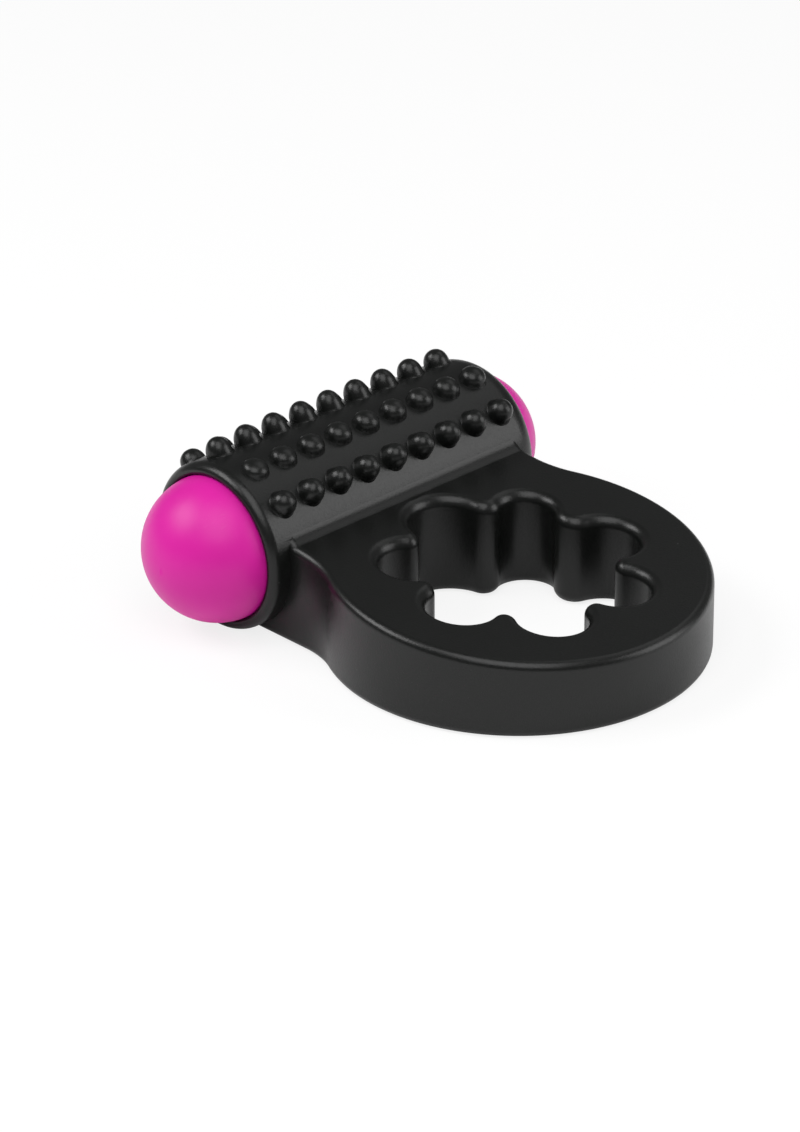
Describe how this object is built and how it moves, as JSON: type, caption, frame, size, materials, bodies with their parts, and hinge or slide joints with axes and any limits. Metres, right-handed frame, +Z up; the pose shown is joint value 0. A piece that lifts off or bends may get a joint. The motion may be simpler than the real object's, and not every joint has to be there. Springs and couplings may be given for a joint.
{
  "type": "vibrating ring massager",
  "caption": "Soft ring with a scalloped hole and a nubbed barrel sleeve that holds a removable battery-powered bullet capsule with a screw cap and push button.",
  "frame": {"origin": "on the flat underside's plane, on the axis of the ring's scalloped hole", "axes": "+Z up along the hole's axis; +Y from the hole towards the barrel; +X along the barrel towards the capsule's screw cap"},
  "size_m": [0.0524, 0.0553, 0.0198],
  "materials": {
    "sleeve_silicone": "satin moulded silicone, black",
    "capsule_plastic": "satin moulded ABS, magenta",
    "seal_rubber": "black nitrile rubber",
    "cradle_silicone": "translucent white silicone",
    "weight_metal": "sintered heavy metal",
    "steel": "nickel-plated steel",
    "brass": "bright brass",
    "magnet": "ferrite",
    "armature": "steel laminations and enamelled copper",
    "white_plastic": "moulded nylon, white",
    "black_plastic": "moulded plastic, black",
    "cell_steel": "nickel-plated button cell can",
    "circuit_board": "glass-fibre board with green solder mask"
  },
  "bodies": {
    "sleeve": {"ring_sleeve": "sleeve_silicone"},
    "capsule": {"capsule_shell": "capsule_plastic", "motor_cradle": "cradle_silicone", "motor_can": "steel", "motor_magnet": "magnet", "motor_end_bell": "white_plastic", "nose_bush": "brass", "terminal_positive": "brass", "terminal_negative": "brass", "front_contact": "brass", "cell_holder": "black_plastic", "side_strip": "brass", "contact_ring": "brass", "button_cell_1": "cell_steel", "button_cell_2": "cell_steel", "button_cell_3": "cell_steel"},
    "rotor": {"motor_shaft": "steel", "motor_armature": "armature", "eccentric_weight": "weight_metal"},
    "seal": {"cap_seal": "seal_rubber"},
    "cap": {"end_cap": "capsule_plastic", "button_gasket": "seal_rubber", "switch_board": "circuit_board", "board_clip": "steel", "switch_housing": "black_plastic", "contact_spring": "steel", "cap_strip": "brass"},
    "button": {"push_button": "capsule_plastic", "switch_plunger": "white_plastic"}
  },
  "joints": [
    {"name": "capsule_slide", "type": "slide", "parent": "sleeve", "child": "capsule", "axis": [-1, 0, 0], "range_m": [0, 0.045]},
    {"name": "motor_spin", "type": "hinge", "parent": "capsule", "child": "rotor", "pos_m": [0, 0.0255, 0.00895], "axis": [1, 0, 0], "continuous": true},
    {"name": "cap_advance", "type": "slide", "parent": "capsule", "child": "seal", "axis": [1, 0, 0], "range_m": [0, 0.006]},
    {"name": "cap_turn", "type": "hinge", "parent": "seal", "child": "cap", "pos_m": [0, 0.0255, 0.00895], "axis": [1, 0, 0], "range_deg": [0, 1080]},
    {"name": "button_press", "type": "slide", "parent": "cap", "child": "button", "axis": [-1, 0, 0], "range_m": [0, 0.0003], "stiffness_N_per_m": 3000}
  ],
  "couplings": [
    {"joint": "cap_advance", "follows": "cap_turn", "m_per_rad": 0.00031831}
  ]
}
